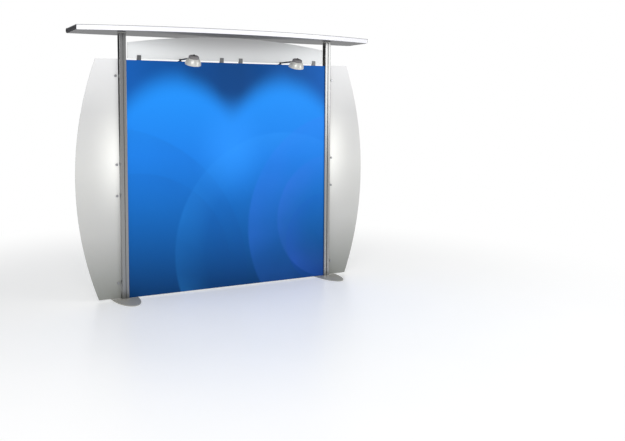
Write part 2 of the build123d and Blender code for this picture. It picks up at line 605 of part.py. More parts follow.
for side, side_name in SIDES:
    x = side * lamp_x
    # The head's own axis runs from the middle of its rim up through its top, leaning to the front.
    rise = Vector(0, -sin(radians(lamp_tilt)), cos(radians(lamp_tilt)))
    rim = Vector(x, wall_y - head_reach, head_height)
    head_axis = Axis(rim, rise)
    profile_plane = Plane(origin=rim, x_dir=(1, 0, 0), z_dir=Vector(1, 0, 0).cross(rise))
    tilt_plane = Plane(origin=(x, tilt_y, tilt_z), x_dir=(0, 1, 0), z_dir=(1, 0, 0))
    knob_plane = Plane(origin=(x, tilt_y, tilt_z), x_dir=(0, 1, 0), z_dir=(side, 0, 0))

    with BuildPart() as arm:
        with Locations((x, wall_y, arm_height)):
            Cylinder(eye_radius, eye_height)
        with BuildSketch(Plane.XZ.offset(-(wall_y - eye_radius / 2))):
            with Locations((x, arm_height)):
                Circle(rod_radius)
        extrude(amount=arm_reach - eye_radius / 2 - 4)
        with BuildSketch(Plane.XZ.offset(-(wall_y - eye_radius - 6))):
            with Locations((x, arm_height)):
                Circle(arm_radius)
        extrude(amount=arm_reach - eye_radius - 6 - 22)
        with BuildSketch(tilt_plane.offset(-tongue_width / 2)):
            Circle(tongue_radius)
        extrude(amount=tongue_width)
        with Locations((x, wall_y, arm_height)):
            Cylinder(swivel_radius + running_gap, 3 * eye_height, mode=Mode.SUBTRACT)
        with BuildSketch(tilt_plane.offset(-tongue_width)):
            Circle(tilt_radius + running_gap)
        extrude(amount=2 * tongue_width, mode=Mode.SUBTRACT)
    finish(arm, f"{side_name}_lamp_arm")

    with BuildPart() as shade:
        with BuildSketch(profile_plane):
            with BuildLine():
                outer_curve = ThreePointArc((shade_radius, 0), (65.5, 27), (47, shade_height))
                top_edge = Line(outer_curve @ 1, (34, shade_height))
                step = Line(top_edge @ 1, (34, shade_height - shade_wall))
                under = Line(step @ 1, (46.4, shade_height - shade_wall))
                inner_curve = ThreePointArc(under @ 1, (64.1, 26.4), (shade_radius - shade_wall, 0))
                Line(inner_curve @ 1, outer_curve @ 0)
            make_face()
        revolve(axis=head_axis)
    finish(shade, f"{side_name}_lamp_shade")

    with BuildPart() as housing:
        with BuildSketch(profile_plane):
            with BuildLine():
                Polyline((0, housing_top), (housing_radius - 16, housing_top))
                ThreePointArc((housing_radius - 16, housing_top), (housing_radius - 4.7, housing_top - 4.7),
                              (housing_radius, housing_top - 16))
                Polyline((housing_radius, housing_top - 16), (housing_radius, shade_height + 0.2),
                         (0, shade_height + 0.2), (0, housing_top))
            make_face()
        revolve(axis=head_axis)
        with BuildSketch(tilt_plane.offset(-lug_outer)):
            Circle(tongue_radius + 1.5)
            with Locations((lug_y / 2, lug_z / 2)):
                Rectangle(hypot(lug_y, lug_z), lug_height, rotation=degrees(atan(lug_z / lug_y)))
        extrude(amount=2 * lug_outer)
        with BuildSketch(tilt_plane.offset(-tongue_width / 2 - lug_gap)):
            Circle(tongue_radius + 2.5)
            with Locations((tongue_radius, 0)):
                Rectangle(2 * tongue_radius, 2 * tongue_radius + 4)
        extrude(amount=tongue_width + 2 * lug_gap, mode=Mode.SUBTRACT)
        with BuildSketch(profile_plane):
            with BuildLine():
                inner_radius, inner_top = housing_radius - housing_wall, housing_top - housing_wall
                Polyline((0, inner_top), (inner_radius - 14, inner_top))
                ThreePointArc((inner_radius - 14, inner_top), (inner_radius - 4.1, inner_top - 4.1),
                              (inner_radius, inner_top - 14))
                Polyline((inner_radius, inner_top - 14), (inner_radius, shade_height - 1),
                         (0, shade_height - 1), (0, inner_top))
            make_face()
        revolve(axis=head_axis, mode=Mode.SUBTRACT)
        with BuildSketch(tilt_plane.offset(-2 * lug_outer)):
            Circle(tilt_radius + running_gap)
        extrude(amount=4 * lug_outer, mode=Mode.SUBTRACT)
        # cooling slots in the top
        with BuildSketch(Plane(origin=rim + rise * (housing_top + 1), x_dir=(1, 0, 0), z_dir=rise)):
            with PolarLocations(20.5, 12):
                SlotOverall(15, 3)
        extrude(amount=-housing_wall - 4, mode=Mode.SUBTRACT)
        # the hole that the cord gland sits in
        with BuildSketch(Plane(origin=rim + rise * (housing_top + 1), x_dir=(1, 0, 0), z_dir=rise)):
            Circle(gland_body + 0.2)
        extrude(amount=-housing_wall - 4, mode=Mode.SUBTRACT)
    finish(housing, f"{side_name}_lamp_housing")

    with BuildPart() as gland:
        gland_plane = Plane(origin=rim + rise * (housing_top - 3), x_dir=(1, 0, 0), z_dir=rise)
        with BuildSketch(gland_plane):
            Circle(gland_body)
        extrude(amount=gland_thread)
        with BuildSketch(gland_plane.offset(gland_hex_base)):
            RegularPolygon(gland_hex_radius, 6, major_radius=False)
        extrude(amount=gland_hex_height)
        with BuildSketch(gland_plane.offset(gland_hex_base + gland_hex_height)):
            Circle(gland_dome_radius)
        extrude(amount=gland_dome_height, taper=8)
        with BuildSketch(gland_plane):
            Circle(cord_bore)
        extrude(amount=20, mode=Mode.SUBTRACT)
    finish(gland, f"{side_name}_lamp_cord_gland")

    with BuildPart() as reflector:
        with BuildSketch(profile_plane):
            with BuildLine():
                bowl = ThreePointArc((63.5, 5.5), (54, 32), (25, reflector_top))
                flange = Line(bowl @ 1, (12.4, reflector_top))
                lip = Line(flange @ 1, (12.4, reflector_top - 1))
                under = Line(lip @ 1, (24.7, reflector_top - 1))
                inside = ThreePointArc(under @ 1, (53.2, 31.4), (62.5, 5.5))
                Line(inside @ 1, bowl @ 0)
            make_face()
        revolve(axis=head_axis)
    finish(reflector, f"{side_name}_lamp_reflector")

    with BuildPart() as lampholder:
        holder_plane = Plane(origin=rim + rise * (reflector_top + 0.2), x_dir=(1, 0, 0), z_dir=rise)
        with BuildSketch(holder_plane):
            Circle(holder_radius)
        extrude(amount=holder_length)
        with BuildSketch(holder_plane.offset(1.2)):
            Rectangle(50, 10)
        extrude(amount=2)
        with BuildSketch(holder_plane):
            Circle(holder_bore)
        extrude(amount=holder_bore_depth, mode=Mode.SUBTRACT)
    finish(lampholder, f"{side_name}_lamp_lampholder")

    with BuildPart() as bulb:
        with BuildSketch(profile_plane):
            with BuildLine():
                tip = ThreePointArc((0, bulb_low), (4.6, 27.9), (bulb_radius, 32.5))
                Polyline(tip @ 1, (bulb_radius, bulb_top), (0, bulb_top), (0, bulb_low))
            make_face()
        revolve(axis=head_axis)
    finish(bulb, f"{side_name}_lamp_bulb")

    with BuildPart() as glass:
        with BuildSketch(Plane(origin=rim + rise * glass_base, x_dir=(1, 0, 0), z_dir=rise)):
            Circle(shade_radius - shade_wall - 0.9)
        extrude(amount=glass_thickness)
        chamfer(glass.edges().filter_by(GeomType.CIRCLE), glass_edge)
    finish(glass, f"{side_name}_lamp_glass")

    with BuildPart() as knob:
        with BuildSketch(knob_plane.offset(-lug_outer - 1)):
            Circle(tilt_radius)
        extrude(amount=2 * lug_outer + 3)
        with BuildSketch(knob_plane.offset(lug_outer + lug_gap)):
            Circle(knob_radius)
            with PolarLocations(knob_radius + 1.1, 8):
                Circle(knob_notch, mode=Mode.SUBTRACT)
        extrude(amount=knob_height)
        outer_face = knob.faces().sort_by(Axis.X)[-1 if side > 0 else 0]
        fillet(outer_face.edges(), knob_rounding)
    finish(knob, f"{side_name}_lamp_tilt_knob")
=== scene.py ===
"""Looks for a free-standing exhibition back wall, in metres, with +Z up and -Y the front."""

import json
import math

import bmesh
import bpy
import numpy as np
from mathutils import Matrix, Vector


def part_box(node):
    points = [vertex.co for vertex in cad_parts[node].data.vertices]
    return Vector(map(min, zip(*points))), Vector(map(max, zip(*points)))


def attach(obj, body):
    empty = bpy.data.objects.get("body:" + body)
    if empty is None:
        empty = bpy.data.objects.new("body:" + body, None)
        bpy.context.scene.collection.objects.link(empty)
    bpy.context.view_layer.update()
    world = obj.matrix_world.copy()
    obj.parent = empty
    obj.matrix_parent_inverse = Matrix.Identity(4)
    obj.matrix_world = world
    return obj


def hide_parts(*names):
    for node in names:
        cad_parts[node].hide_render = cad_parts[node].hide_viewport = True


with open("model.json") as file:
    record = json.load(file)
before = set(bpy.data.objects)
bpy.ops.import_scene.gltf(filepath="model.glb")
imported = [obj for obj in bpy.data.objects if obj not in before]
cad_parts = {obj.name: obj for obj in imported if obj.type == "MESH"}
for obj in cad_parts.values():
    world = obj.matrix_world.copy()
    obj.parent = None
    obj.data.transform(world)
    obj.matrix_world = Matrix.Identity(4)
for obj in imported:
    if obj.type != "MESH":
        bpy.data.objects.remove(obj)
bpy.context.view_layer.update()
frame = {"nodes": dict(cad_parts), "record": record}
MM = 0.001

# ---------------------------------------------------------------- places taken from the frame
wall_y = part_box("graphic_panel")[0].y      # the centre panel's front face
wing_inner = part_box("right_wing_panel")[0].x
PANEL_TOP = 2.14                           # the height, to the nearest centimetre, that the print fades over
SHEET_TOP = 2.4                            # the same for the frosted sheets
node_slot = {part["node"]: part["material_slot"] for part in frame["record"]["subparts"]}


# ---------------------------------------------------------------- colour and node helpers
def linear(code):
    """An sRGB hex colour such as "#8090A0" as linear red, green, blue and an alpha of one."""
    channels = [int(code[i:i + 2], 16) / 255 for i in (1, 3, 5)]
    return tuple(c / 12.92 if c <= 0.04045 else ((c + 0.055) / 1.055) ** 2.4 for c in channels) + (1.0,)


def add(tree, kind, inputs=None, stops=None, **settings):
    """Add a node of this kind, with its settings, its inputs' values or links, and a ramp's colour stops."""
    made = tree.nodes.new("ShaderNode" + kind)
    for name, value in settings.items():
        setattr(made, name, value)
    for name, value in (inputs or {}).items():
        if isinstance(value, bpy.types.NodeSocket):
            tree.links.new(value, made.inputs[name])
        else:
            made.inputs[name].default_value = value
    for number, (place, code) in enumerate(stops or ()):
        elements = made.color_ramp.elements
        stop = elements[number] if number < len(elements) else elements.new(place)
        stop.position, stop.color = place, linear(code)
    return made


# sockets of the Mix node when it mixes colours
FACTOR, COLOUR_A, COLOUR_B, COLOUR_OUT = 0, 6, 7, 2


def start(name, **shader):
    """A new material with one Principled shader. Returns the material, its tree and the shader."""
    material = bpy.data.materials.new(name)
    material.use_nodes = True
    tree = material.node_tree
    tree.nodes.clear()
    principled = add(tree, "BsdfPrincipled", {key.replace("_", " "): value for key, value in shader.items()})
    output = add(tree, "OutputMaterial", {"Surface": principled.outputs["BSDF"]})
    output.is_active_output = True
    return material, tree, principled


def grained(name, pale, deep, grain_mm, roughness, relief_mm, spread=0.06, stretch=(1, 1, 1), slow_mm=400.0,
            coordinates="Object", **shader):
    """A material with a fine grain in its finish and a slow drift of tone.

    Two noises are read: one of grain_mm, squeezed by stretch, moves the surface by relief_mm and the
    roughness by spread, and one of slow_mm mixes the colours pale and deep.
    """
    material, tree, principled = start(name, **shader)
    place = add(tree, "TexCoord").outputs[coordinates]
    squeezed = add(tree, "Mapping", {"Vector": place, "Scale": stretch})
    grain = add(tree, "TexNoise", {"Vector": squeezed.outputs[0], "Scale": 1 / (grain_mm * MM),
                                   "Detail": 3.0})
    slow = add(tree, "TexNoise", {"Vector": squeezed.outputs[0], "Scale": 1 / (slow_mm * MM), "Detail": 2.0})
    tone = add(tree, "Math", {0: slow.outputs["Fac"], 1: grain.outputs["Fac"]}, operation="MULTIPLY_ADD")
    tone.inputs[2].default_value = 0.15
    colour = add(tree, "Mix", {FACTOR: tone.outputs[0], COLOUR_A: linear(pale), COLOUR_B: linear(deep)},
                 data_type="RGBA")
    gloss = add(tree, "MapRange", {"Value": grain.outputs["Fac"], "To Min": roughness - spread,
                                   "To Max": roughness + spread})
    bump = add(tree, "Bump", {"Height": grain.outputs["Fac"], "Distance": relief_mm * MM, "Strength": 1.0})
    tree.links.new(colour.outputs[COLOUR_OUT], principled.inputs["Base Color"])
    tree.links.new(gloss.outputs[0], principled.inputs["Roughness"])
    tree.links.new(bump.outputs[0], principled.inputs["Normal"])
    return material


# ---------------------------------------------------------------- materials
# each scallop of painted lamp light on the print is a parabola: its middle, top and drop per square metre
SCALLOP_X, SCALLOP_TOP, SCALLOP_DROP = 0.56, 1.99, 1.05
SCALLOP_BLEND = 0.34                       # how widely the two run into each other


def printed_laminate_and_painted_light():
    """Satin laminate over a printed sheet: a deep blue with painted lamp light, brighter towards the top.

    The film gives the eye a saturated colour with only a weak, wide shine. Painted shade darkens the print
    at the foot and in the top middle, and two scallops of painted lamp light brighten it. Broad arcs, each
    bright at its rim and fading inwards, cross it faintly.
    Only the front is printed: the back and the cut edges are the plain pale foam board.
    """
    material, tree, principled = start("satin_laminated_print_and_painted_lamp_light", Roughness=0.45, Specular_IOR_Level=0.1)
    place = add(tree, "TexCoord").outputs["Object"]
    along = add(tree, "SeparateXYZ", {"Vector": place})
    across, height = along.outputs["X"], along.outputs["Z"]
    # painted light and shade on the print's blue: darker at the foot, brighter towards the lamps at the top
    full = add(tree, "MapRange", {"Value": height, "From Min": 0.0, "From Max": PANEL_TOP}).outputs[0]
    print_blue_and_painted_light = add(tree, "ValToRGB", {"Fac": full}, stops=(
        (0.0, "#053A6E"), (0.35, "#1068BC"), (0.6, "#1A80E6"), (1.0, "#2298FF")))
    # painted shade between the lamps' light: the top of the print outside the scallops, brighter at the sides
    # than in the middle
    side = add(tree, "Math", {0: across}, operation="ABSOLUTE").outputs[0]
    side = add(tree, "MapRange", {"Value": side, "From Min": 0.1, "From Max": 1.0}).outputs[0]
    shade = add(tree, "ValToRGB", {"Fac": side}, stops=((0.0, "#084484"), (1.0, "#105CB0"))).outputs[0]
    below = []
    for middle in (-SCALLOP_X, SCALLOP_X):
        offset = add(tree, "Math", {0: across, 1: middle}, operation="SUBTRACT").outputs[0]
        squared = add(tree, "Math", {0: offset, 1: offset}, operation="MULTIPLY").outputs[0]
        rim = add(tree, "Math", {0: squared, 1: -SCALLOP_DROP, 2: SCALLOP_TOP},
                  operation="MULTIPLY_ADD").outputs[0]
        below.append(add(tree, "Math", {0: rim, 1: height}, operation="SUBTRACT").outputs[0])
    joined = add(tree, "Math", {0: below[0], 1: below[1], 2: SCALLOP_BLEND}, operation="SMOOTH_MAX").outputs[0]
    scallop = add(tree, "MapRange", {"Value": joined, "From Min": -0.17, "From Max": 0.21},
                  interpolation_type="SMOOTHERSTEP").outputs[0]
    colour = add(tree, "Mix", {FACTOR: scallop, COLOUR_A: shade, COLOUR_B: print_blue_and_painted_light.outputs[0]}, data_type="RGBA")
    # painted light: the bright middle of the wall
    centre = add(tree, "Mapping", {"Vector": place, "Location": (0.0, 0.0, -2.35), "Scale": (2.2, 0.0, 1.75)})
    painted_spot = add(tree, "VectorMath", {0: centre.outputs[0]}, operation="LENGTH").outputs["Value"]
    painted_spot = add(tree, "MapRange", {"Value": painted_spot, "From Min": 1.0, "From Max": 0.0, "To Max": 0.7},
               interpolation_type="SMOOTHSTEP").outputs[0]
    colour = add(tree, "Mix", {FACTOR: painted_spot, COLOUR_A: colour.outputs[COLOUR_OUT],
                               COLOUR_B: linear("#2B96FF")}, data_type="RGBA")
    # arcs: x and z of the centre, radius, width of the fade, strength and colour
    warp = add(tree, "TexNoise", {"Vector": place, "Scale": 1.3, "Detail": 2.0}).outputs["Fac"]
    for x, z, radius, width, strength, tint in (
            (1.30, 0.55, 1.12, 0.55, 0.32, "#3A7CF2"), (1.12, 0.62, 0.62, 0.35, 0.26, "#4576EC"),
            (0.55, 0.35, 1.12, 0.30, 0.26, "#36A2FF"), (-1.30, 0.10, 1.45, 0.40, 0.13, "#0D3C8C"),
            (-0.95, 0.20, 0.92, 0.30, 0.12, "#0A3884"), (1.05, 0.40, 0.45, 0.22, 0.22, "#164CC4")):
        gap = add(tree, "VectorMath", {0: place, 1: (x, wall_y, z)}, operation="DISTANCE").outputs["Value"]
        rise = add(tree, "MapRange", {"Value": gap, "From Min": radius - width,
                                      "From Max": radius}).outputs[0]
        fall = add(tree, "MapRange", {"Value": gap, "From Min": radius, "From Max": radius + 0.02,
                                      "To Min": 1.0, "To Max": 0.0}).outputs[0]
        band = add(tree, "Math", {0: rise, 1: fall}, operation="MULTIPLY").outputs[0]
        faded = add(tree, "MapRange", {"Value": warp, "From Min": 0.4, "From Max": 0.65,
                                       "To Min": 0.4 * strength, "To Max": strength}).outputs[0]
        band = add(tree, "Math", {0: band, 1: faded}, operation="MULTIPLY").outputs[0]
        colour = add(tree, "Mix", {FACTOR: band, COLOUR_A: colour.outputs[COLOUR_OUT],
                                   COLOUR_B: linear(tint)}, data_type="RGBA")
    facing = add(tree, "SeparateXYZ", {"Vector": add(tree, "NewGeometry").outputs["Normal"]}).outputs["Y"]
    front = add(tree, "Math", {0: facing, 1: -0.5}, operation="LESS_THAN").outputs[0]
    colour = add(tree, "Mix", {FACTOR: front, COLOUR_A: linear("#C4C6C8"),
                               COLOUR_B: colour.outputs[COLOUR_OUT]}, data_type="RGBA")
    # the laminate's fine orange peel, drawn at 4 mm so that it shows
    peel = add(tree, "TexNoise", {"Vector": place, "Scale": 1 / (4 * MM), "Detail": 2.0})
    bump = add(tree, "Bump", {"Height": peel.outputs["Fac"], "Distance": 0.01 * MM})
    tree.links.new(colour.outputs[COLOUR_OUT], principled.inputs["Base Color"])
    tree.links.new(bump.outputs[0], principled.inputs["Normal"])
    return material


def frosted_acrylic(name, painted_tone_by_height, painted_spot_colour, painted_spot_place, painted_spot_size, painted_shade_by_side=None):
    """Acrylic sheet with one sanded face: a milky, even sheet with a wide shine and brighter cut edges.

    Painted light and shade set the tone: it is read off a ramp by height, and by distance from the middle
    if side stops are given. A painted spot, the exponential of minus the squared distance from its given
    place, mixes in its colour: painted light on the wings, the canopy's painted shadow on the header.
    """
    material, tree, principled = start(name, IOR=1.49, Specular_IOR_Level=0.35)
    place = add(tree, "TexCoord").outputs["Object"]
    along = add(tree, "SeparateXYZ", {"Vector": place})
    across = add(tree, "Math", {0: along.outputs["X"]}, operation="ABSOLUTE").outputs[0]
    height = along.outputs["Z"]
    full = add(tree, "MapRange", {"Value": height, "From Max": SHEET_TOP}).outputs[0]
    colour = add(tree, "ValToRGB", {"Fac": full}, stops=painted_tone_by_height).outputs[0]
    if painted_shade_by_side:
        side = add(tree, "MapRange", {"Value": across, "From Max": 1.0}).outputs[0]
        tone = add(tree, "ValToRGB", {"Fac": side}, stops=painted_shade_by_side).outputs[0]
        colour = add(tree, "Mix", {FACTOR: 1.0, COLOUR_A: colour, COLOUR_B: tone}, data_type="RGBA",
                     blend_type="MULTIPLY").outputs[COLOUR_OUT]
    squares = []
    for value, middle, size in ((across, painted_spot_place[0], painted_spot_size[0]), (height, painted_spot_place[1], painted_spot_size[1])):
        offset = add(tree, "Math", {0: value, 1: middle}, operation="SUBTRACT").outputs[0]
        scaled = add(tree, "Math", {0: offset, 1: size}, operation="DIVIDE").outputs[0]
        squares.append(add(tree, "Math", {0: scaled, 1: scaled}, operation="MULTIPLY").outputs[0])
    total = add(tree, "Math", {0: squares[0], 1: squares[1]}, operation="ADD").outputs[0]
    total = add(tree, "Math", {0: total, 1: -1.0}, operation="MULTIPLY").outputs[0]
    painted_spot = add(tree, "Math", {0: total}, operation="EXPONENT").outputs[0]
    colour = add(tree, "Mix", {FACTOR: painted_spot, COLOUR_A: colour, COLOUR_B: linear(painted_spot_colour)},
                 data_type="RGBA").outputs[COLOUR_OUT]
    # the sanded face is even but not perfect: cloudy patches about 150 mm across
    cloud = add(tree, "TexNoise", {"Vector": place, "Scale": 1 / (150 * MM), "Detail": 3.0}).outputs["Fac"]
    cloud = add(tree, "MapRange", {"Value": cloud, "To Min": 0.985, "To Max": 1.015}).outputs[0]
    colour = add(tree, "VectorMath", {0: colour, "Scale": cloud}, operation="SCALE").outputs[0]
    facing = add(tree, "SeparateXYZ", {"Vector": add(tree, "NewGeometry").outputs["Normal"]}).outputs["Y"]
    facing = add(tree, "Math", {0: facing}, operation="ABSOLUTE").outputs[0]
    front = add(tree, "Math", {0: facing, 1: 0.5}, operation="GREATER_THAN").outputs[0]
    colour = add(tree, "Mix", {FACTOR: front, COLOUR_A: linear("#A9B4AE"), COLOUR_B: colour},
                 data_type="RGBA")
    # grit of the frosting, about 0.4 mm, drawn at 2.5 mm so that it shows
    grit = add(tree, "TexNoise", {"Vector": place, "Scale": 1 / (2.5 * MM), "Detail": 2.0}).outputs["Fac"]
    gloss = add(tree, "MapRange", {"Value": grit, "To Min": 0.4, "To Max": 0.55}).outputs[0]
    bump = add(tree, "Bump", {"Height": grit, "Distance": 0.02 * MM})
    tree.links.new(colour.outputs[COLOUR_OUT], principled.inputs["Base Color"])
    tree.links.new(gloss, principled.inputs["Roughness"])
    tree.links.new(bump.outputs[0], principled.inputs["Normal"])
    return material


def spun_metal(name, pale, deep, roughness, ring_mm, **shader):
    """Spun sheet metal: faint rings round the axis, as the spinning tool leaves them.

    They are read from the piece's own UV, where V runs along the profile.
    """
    material, tree, principled = start(name, **shader)
    place = add(tree, "TexCoord").outputs["UV"]
    squeezed = add(tree, "Mapping", {"Vector": place, "Scale": (0.4, 1.0, 1.0)})
    rings = add(tree, "TexNoise", {"Vector": squeezed.outputs[0], "Scale": 1 / (ring_mm * MM), "Detail": 3.0})
    colour = add(tree, "Mix", {FACTOR: rings.outputs["Fac"], COLOUR_A: linear(pale), COLOUR_B: linear(deep)},
                 data_type="RGBA")
    gloss = add(tree, "MapRange", {"Value": rings.outputs["Fac"], "To Min": roughness - 0.06,
                                   "To Max": roughness + 0.08})
    bump = add(tree, "Bump", {"Height": rings.outputs["Fac"], "Distance": 0.03 * MM})
    tree.links.new(colour.outputs[COLOUR_OUT], principled.inputs["Base Color"])
    tree.links.new(gloss.outputs[0], principled.inputs["Roughness"])
    tree.links.new(bump.outputs[0], principled.inputs["Normal"])
    return material


def glass(name, ior, tint):
    """Clear glass with faint draw lines in its surface. The eye gets a sharp outline and bright edges."""
    material, tree, principled = start(name, IOR=ior, Transmission_Weight=1.0, Roughness=0.0,
                                       Base_Color=linear(tint))
    place = add(tree, "TexCoord").outputs["Object"]
    waves = add(tree, "TexNoise", {"Vector": place, "Scale": 1 / (25 * MM), "Detail": 1.0})
    bump = add(tree, "Bump", {"Height": waves.outputs["Fac"], "Distance": 0.02 * MM})
    tree.links.new(bump.outputs[0], principled.inputs["Normal"])
    return material


def glowing_tungsten():
    """A tungsten coil at working heat: warm white light from a dull grey wire."""
    material, tree, principled = start("coiled_tungsten_wire", Metallic=1.0, Roughness=0.5,
                                       Base_Color=linear("#6E6A66"), Emission_Color=linear("#FFE7C4"),
                                       Emission_Strength=6.0)
    place = add(tree, "TexCoord").outputs["Object"]
    drawn = add(tree, "TexNoise", {"Vector": place, "Scale": 1 / (0.5 * MM)})
    bump = add(tree, "Bump", {"Height": drawn.outputs["Fac"], "Distance": 0.01 * MM})
    tree.links.new(bump.outputs[0], principled.inputs["Normal"])
    return material


# die lines run the length of an extrusion: 1.5 mm apart and metres long
UPRIGHT_LINES, RAIL_LINES = (1, 1, 0.002), (0.002, 1, 1)
finishes = {
    # clear-anodised extrusions: a soft grey metal with faint lines along their length
    "upright": grained("anodised_aluminium_upright", "#A6A6A5", "#7E7F7F", 1.5, 0.28, 0.006,
                       stretch=UPRIGHT_LINES, slow_mm=30.0, Metallic=1.0),
    "extrusion": grained("anodised_aluminium_rail", "#B4B5B4", "#97999A", 1.5, 0.36, 0.006,
                         stretch=RAIL_LINES, slow_mm=30.0, Metallic=1.0),
    # powder-coated steel plate: an even grey with the coat's orange peel, about 2 mm
    "plate": grained("powder_coated_steel_plate", "#B2B1AA", "#9F9E97", 2.0, 0.42, 0.03, Coat_Weight=0.08),
    "zinc_hardware": grained("die_cast_zinc", "#A6A7A9", "#8A8C8F", 1.2, 0.45, 0.02, Metallic=1.0),
    "screws": grained("zinc_plated_steel_screws", "#B7B9BA", "#9A9B98", 0.8, 0.3, 0.008, Metallic=1.0),
    "lamp_screws": grained("blackened_steel_screw", "#2A2A2C", "#1B1B1D", 0.8, 0.38, 0.008, Metallic=0.6),
    "printed_panel": printed_laminate_and_painted_light(),
    # hook-and-loop tape: dense nylon loops, about 1 mm each, matt with a soft sheen
    "hook_strip": grained("woven_nylon_hook_and_loop", "#232325", "#0F0F11", 1.0, 0.85, 0.5,
                          Sheen_Weight=0.4),
    "clip": grained("dark_anodised_aluminium_clip", "#707172", "#5B5C5E", 1.0, 0.4, 0.01, Metallic=0.85),
    "bracket": grained("zinc_plated_sheet_steel", "#A7A9AB", "#8C8F92", 3.0, 0.36, 0.01, Metallic=1.0),
    # turned aluminium: satin, with cutter marks too fine to count
    "standoff": grained("turned_satin_aluminium", "#A9AAAC", "#8D8E91", 0.7, 0.3, 0.008, Metallic=1.0),
    # white high-pressure laminate: a clean, faintly cool white with a low satin shine
    "canopy_face": grained("white_high_pressure_laminate", "#F6F6FB", "#EFEFF4", 3.0, 0.36, 0.01,
                           slow_mm=900.0, Coat_Weight=0.15),
    # painted shade: the soffit, the end plates and the top skin are greys far darker than the white face,
    # standing in for the shade under, beside and along the top of the canopy
    "canopy_soffit": grained("grey_high_pressure_laminate_and_painted_shade", "#434346", "#3A3A3D", 3.0, 0.42, 0.01,
                             slow_mm=900.0),
    "canopy_end": grained("dark_grey_high_pressure_laminate_and_painted_shade", "#4C4C4F", "#424245", 3.0, 0.42, 0.01,
                          slow_mm=900.0),
    "canopy_skin": grained("mid_grey_laminate_and_painted_shade", "#8E8F92", "#848588", 3.0, 0.45, 0.01, slow_mm=900.0),
    "canopy_tube": grained("mill_finish_aluminium_tube", "#8D8E90", "#737477", 1.5, 0.34, 0.008,
                           stretch=RAIL_LINES, slow_mm=40.0, Metallic=1.0),
    "tube_cap": grained("moulded_black_polyethylene", "#2E2E30", "#222224", 1.5, 0.45, 0.02),
    "lamp_foot": grained("black_powder_coated_steel_foot", "#232324", "#171718", 1.5, 0.45, 0.03),
    "lamp_arm": grained("black_powder_coated_steel_rod", "#252526", "#18181A", 1.5, 0.42, 0.02),
    "lamp_shade": spun_metal("silver_painted_spun_aluminium", "#D2D2CC", "#BEBEB9", 0.34, 1.5, Metallic=0.35),
    "lamp_housing": grained("grey_powder_coated_die_casting", "#7C797A", "#646162", 1.2, 0.4, 0.03),
    "gland": grained("moulded_black_nylon", "#1E1E20", "#141416", 1.0, 0.5, 0.02),
    "knob": grained("moulded_black_phenolic", "#202022", "#141416", 1.0, 0.35, 0.02),
    "reflector": spun_metal("bright_anodised_spun_reflector", "#F2F2F0", "#E2E3E4", 0.12, 1.5, Metallic=1.0),
    "lampholder": grained("glazed_steatite_lampholder", "#E6E1D4", "#D6D0C0", 1.5, 0.2, 0.02,
                          Coat_Weight=0.5),
    "bulb": glass("clear_quartz_capsule", 1.46, "#FBFBF8"),
    "lamp_glass": glass("clear_tempered_glass", 1.52, "#F4FAF8"),
    "filament": glowing_tungsten(),
    # painted shade and light on the wing: darker towards its foot, brighter towards its top, and a painted
    # light beside the upright at mid-height
    "frosted_wing": frosted_acrylic(
        "frosted_acrylic_wing_and_painted_light",
        ((0.0, "#8A8C87"), (0.25, "#C2C2BF"), (0.5, "#D4D4D1"), (0.7, "#CFCFCE"), (0.9, "#EAEAEA")),
        "#FFFFFA", (wing_inner + 0.01, 1.28), (0.16, 0.34)),
    # painted shadow of the canopy on the header: darker towards its top and its middle, most of all just under
    # the canopy's middle
    "frosted_header": frosted_acrylic(
        "frosted_acrylic_header_and_painted_shadow", ((0.0, "#FAFCFC"), (1.0, "#EEF0F0")),
        "#CACACA", (0.0, 2.33), (0.5, 0.09), painted_shade_by_side=((0.25, "#E2E2E2"), (1.0, "#FFFFFF"))),
}
for name, node in frame["nodes"].items():
    slot_name = node_slot[name]
    look = finishes["upright" if name.endswith("_upright") else slot_name]
    node.data.materials.clear()
    node.data.materials.append(look)


# ---------------------------------------------------------------- shapes worked out with arrays
def arc(first, through, last, count):
    """Points on the circle through three points, from the first to the last, evenly spaced in angle."""
    a, b, c = (np.array(p, float) for p in (first, through, last))
    lhs = 2 * np.array([b - a, c - a])
    rhs = np.array([b @ b - a @ a, c @ c - a @ a])
    middle = np.linalg.solve(lhs, rhs)
    begin, mid, end = (math.atan2(*(p - middle)[::-1]) for p in (a, b, c))
    turn = (end - begin) % (2 * math.pi)
    if (mid - begin) % (2 * math.pi) > turn:
        turn -= 2 * math.pi
    angle = begin + turn * np.linspace(0, 1, count)
    return middle + np.hypot(*(a - middle)) * np.c_[np.cos(angle), np.sin(angle)]


def grid_faces(rows, columns, wrap_rows):
    """Quads of a grid whose columns always wrap round, and whose rows wrap if wrap_rows is true."""
    across = np.arange(columns)
    down = np.arange(rows if wrap_rows else rows - 1)
    i, j = (x.ravel() for x in np.meshgrid(down, across, indexing="ij"))
    next_i, next_j = (i + 1) % rows, (j + 1) % columns
    return np.c_[i * columns + j, i * columns + next_j, next_i * columns + next_j, next_i * columns + j]


